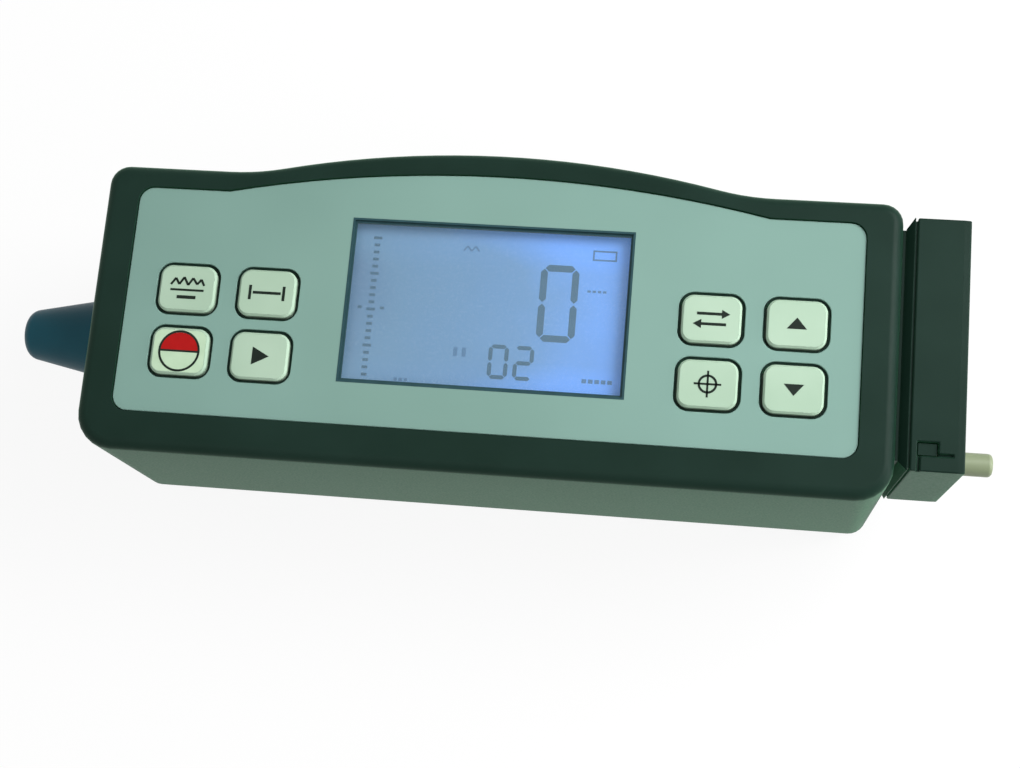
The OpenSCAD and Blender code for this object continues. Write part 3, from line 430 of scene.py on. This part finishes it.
# Digits just over the display's glass, in millimetres
GLASS_GAP = 0.01
BIG_DIGIT = {"w": 6.7, "h": 13.8, "t": 1.2}
SMALL_DIGIT = {"w": 3.5, "h": 6.1, "t": 0.7}
BIG_AT = (8.7, -4.3)
SMALL_AT = {"0": (0.8, -11.4), "2": (5.2, -11.4)}
glass_z = GLASS_TOP + GLASS_GAP
figures = digit("0", *BIG_AT, **BIG_DIGIT)
for char, corner in SMALL_AT.items():
    figures += digit(char, *corner, **SMALL_DIGIT)
plates("display_digits", figures, glass_z, segment_ink, "case")

# Scale at the display's left, with a short pointer on each side of its middle, in millimetres
SCALE_X = -20.6
SCALE_TOP = 12.7
SCALE_STEP = 1.3
SCALE_COUNT = 20
LONG_EVERY = 5
LONG_MARK = 1.5
SHORT_MARK = 1.0
MARK_T = 0.5
POINTER_W = 0.7
POINTER_OFFSET = 2
scale = []
for i in range(SCALE_COUNT):
    mark_w = LONG_MARK if i % LONG_EVERY == 0 else SHORT_MARK
    scale.append(rectangle(SCALE_X, SCALE_TOP - SCALE_STEP * i, mark_w, MARK_T))
scale += [rectangle(SCALE_X + s * POINTER_OFFSET, 0, POINTER_W, MARK_T) for s in (-1, 1)]
plates("display_scale", scale, glass_z, segment_ink, "case")

# Small signs on the display: a wave, a frame and rows of bars, in millimetres
SIGN_T = 0.3
WAVE = [(-5.2, 11.2), (-4.5, 12.1), (-3.8, 11.2), (-3.1, 12.1), (-2.4, 11.2)]
# Centre, width and height of the frame
SIGN_FRAME = (19.6, 11.6, 4.2, 1.9)
# First centre, width, height, step and count of each row
SIGN_ROWS = [
    (17.3, 5.1, 0.6, 0.4, 0.9, 4),
    (-5.0, -7.0, 0.7, 1.6, 1.5, 2),
    (17.6, -10.8, 0.8, 0.7, 1.1, 5),
    (-15, -12.5, 0.6, 0.6, 0.9, 3),
]
signs = stroke(WAVE, SIGN_T) + frame_bars(*SIGN_FRAME, SIGN_T)
for sign_row in SIGN_ROWS:
    signs += row(*sign_row)
plates("display_signs", signs, glass_z, faint_ink, "case")


# Generic signs on the keys, in millimetres from each key's centre

def key_marks(node, polygons, material, name, lift=0.0):
    """Plates on a key's top face or a lift above it, with outlines given from the key's centre."""
    low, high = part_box(node)
    x, y = (low.x + high.x) / 2 / MM, (low.y + high.y) / 2 / MM
    moved = [[(x + u, y + v) for u, v in outline] for outline in polygons]
    plates(name, moved, high.z / MM + lift, material, body_of[node])


profile = [(-3, 0.6), (-2.2, 1.8), (-1.5, 0.7), (-0.7, 2.0), (0.1, 0.6),
           (0.9, 1.9), (1.7, 0.8), (2.4, 1.7), (3, 0.6)]
key_signs = {
    "parameter": stroke(profile, 0.4) + [rectangle(0, -0.3, 6, 0.4), rectangle(0, -1.6, 3.4, 0.6)],
    "cutoff": [rectangle(-3, 0, 0.5, 2.6), rectangle(3, 0, 0.5, 2.6), rectangle(0, 0, 5.0, 0.5)],
    "start": [[(-1.3, -1.6), (1.7, 0), (-1.3, 1.6)]],
    "unit": [rectangle(-0.4, 0.9, 4.2, 0.5), [(1.7, 0.1), (3.1, 0.9), (1.7, 1.7)],
             rectangle(0.4, -0.9, 4.2, 0.5), [(-1.7, -0.1), (-3.1, -0.9), (-1.7, -1.7)]],
    "calibrate": ring(1.25, 1.65) + [rectangle(0, 0, 4.6, 0.35), rectangle(0, 0, 0.35, 4.6)],
    "up": [[(-1.7, -0.9), (1.7, -0.9), (0, 1.1)]],
    "down": [[(1.7, 0.9), (-1.7, 0.9), (0, -1.1)]],
}
for sign, outlines in key_signs.items():
    key_marks("key_" + sign, outlines, ink, "mark_" + sign)

# Power key: a pale face of a width, height and corner radius, and on it a ring, a bar and a red upper half
POWER_FACE = (9.2, 7.4, 1.5)
RING_IN = 3.3
RING_OUT = 3.7
BAR_T = 0.35
HALF_H = 3.1
power_ring = ring(RING_IN, RING_OUT, steps=48) + [rectangle(0, 0, 2 * RING_IN, BAR_T)]
half_turns = [math.radians(a) for a in range(0, 181, 6)]
half_disc = [(RING_IN * math.cos(a), BAR_T / 2 + HALF_H * math.sin(a)) for a in half_turns]
key_marks("key_power", [rounded(*POWER_FACE)], ink_pale, "mark_power_face")
key_marks("key_power", power_ring, ink, "mark_power_ring", PRINT_T)
key_marks("key_power", [half_disc], ink_red, "mark_power_half", PRINT_T)


# Floor, light and camera

# Half the floor's width in metres, its drop under the part, and levels of white and of light
FLOOR_HALF = 30
FLOOR_DROP = 0.4 * MM
FLOOR_WHITE = 0.9
BACKDROP_WHITE = 0.96
AMBIENT = 0.34

# Camera: sensor and lens in millimetres, place in metres and turn in degrees
SENSOR_W = 36
LENS = 58.571
CAMERA_AT = (0.037239, -0.071657, 0.321424)
CAMERA_TURN = (12.603, 5.5746, 4.9507)


def eye_rays(tree):
    """One for what the camera, mirrors and clear things look at, and nought for light that falls."""
    path = tree.nodes.new("ShaderNodeLightPath")
    seen = path.outputs["Is Camera Ray"]
    for kind in ("Is Glossy Ray", "Is Transmission Ray"):
        either = tree.nodes.new("ShaderNodeMath")
        either.operation = "MAXIMUM"
        tree.links.new(seen, either.inputs[0])
        tree.links.new(path.outputs[kind], either.inputs[1])
        seen = either.outputs["Value"]
    return seen


def floor_surface(name, white):
    """Matt white ground that eyes and mirrors see as nearly white, and that still takes a soft shadow."""
    material = surface(name, (244, 245, 244), (250, 250, 250), 0.8,
                       patch=2, grain=300, bump=0.0, gloss=0.0)
    tree = material.node_tree
    share = tree.nodes.new("ShaderNodeMath")
    share.operation = "MULTIPLY"
    share.inputs[1].default_value = white
    tree.links.new(eye_rays(tree), share.inputs[0])
    brightening = tree.nodes.new("ShaderNodeEmission")
    brightening.inputs["Strength"].default_value = 1.0
    mixed = tree.nodes.new("ShaderNodeMixShader")
    tree.links.new(share.outputs["Value"], mixed.inputs["Fac"])
    tree.links.new(tree.nodes["Principled BSDF"].outputs["BSDF"], mixed.inputs[1])
    tree.links.new(brightening.outputs["Emission"], mixed.inputs[2])
    tree.links.new(mixed.outputs["Shader"], tree.nodes["Material Output"].inputs["Surface"])
    return material


floor_mesh = bpy.data.meshes.new("floor")
floor_corners = [(x * FLOOR_HALF, y * FLOOR_HALF, 0) for x, y in ((-1, -1), (1, -1), (1, 1), (-1, 1))]
floor_mesh.from_pydata(floor_corners, [], [(0, 1, 2, 3)])
floor = bpy.data.objects.new("floor", floor_mesh)
floor.location.z = -FLOOR_DROP
bpy.context.scene.collection.objects.link(floor)
floor_mesh.materials.append(floor_surface("floor", FLOOR_WHITE))

world = bpy.data.worlds.new("studio")
world.use_nodes = True
backdrop = world.node_tree.nodes["Background"]
backdrop.inputs["Color"].default_value = (1.0, 1.0, 1.0, 1.0)
strength = world.node_tree.nodes.new("ShaderNodeMath")
strength.operation = "MULTIPLY_ADD"
strength.inputs[1].default_value = BACKDROP_WHITE - AMBIENT
strength.inputs[2].default_value = AMBIENT
world.node_tree.links.new(eye_rays(world.node_tree), strength.inputs[0])
world.node_tree.links.new(strength.outputs["Value"], backdrop.inputs["Strength"])
bpy.context.scene.world = world


def softbox(name, place, aim, size, power):
    """Square area light at a place, turned to an aim."""
    data = bpy.data.lights.new(name, "AREA")
    data.size = size
    data.energy = power
    lamp = bpy.data.objects.new(name, data)
    bpy.context.scene.collection.objects.link(lamp)
    lamp.location = place
    lamp.rotation_euler = (Vector(place) - Vector(aim)).to_track_quat("Z", "Y").to_euler()


softbox("key_light", place=(0.33, 0.15, 0.38), aim=(0.02, 0, 0.03), size=0.3, power=2.9)
softbox("fill_light", place=(-0.1, -0.4, 1.0), aim=(0, 0, 0.03), size=0.8, power=1.6)
softbox("side_light", place=(0.55, -0.05, 0.14), aim=(0.07, 0, 0.03), size=0.25, power=1.3)

camera_data = bpy.data.cameras.new("camera")
camera_data.sensor_width = SENSOR_W
camera_data.lens = LENS
camera_data.clip_start = 0.01
camera = bpy.data.objects.new("camera", camera_data)
bpy.context.scene.collection.objects.link(camera)
camera.location = CAMERA_AT
camera.rotation_euler = [math.radians(turn) for turn in CAMERA_TURN]
bpy.context.scene.camera = camera
bpy.context.scene.view_settings.view_transform = "Standard"
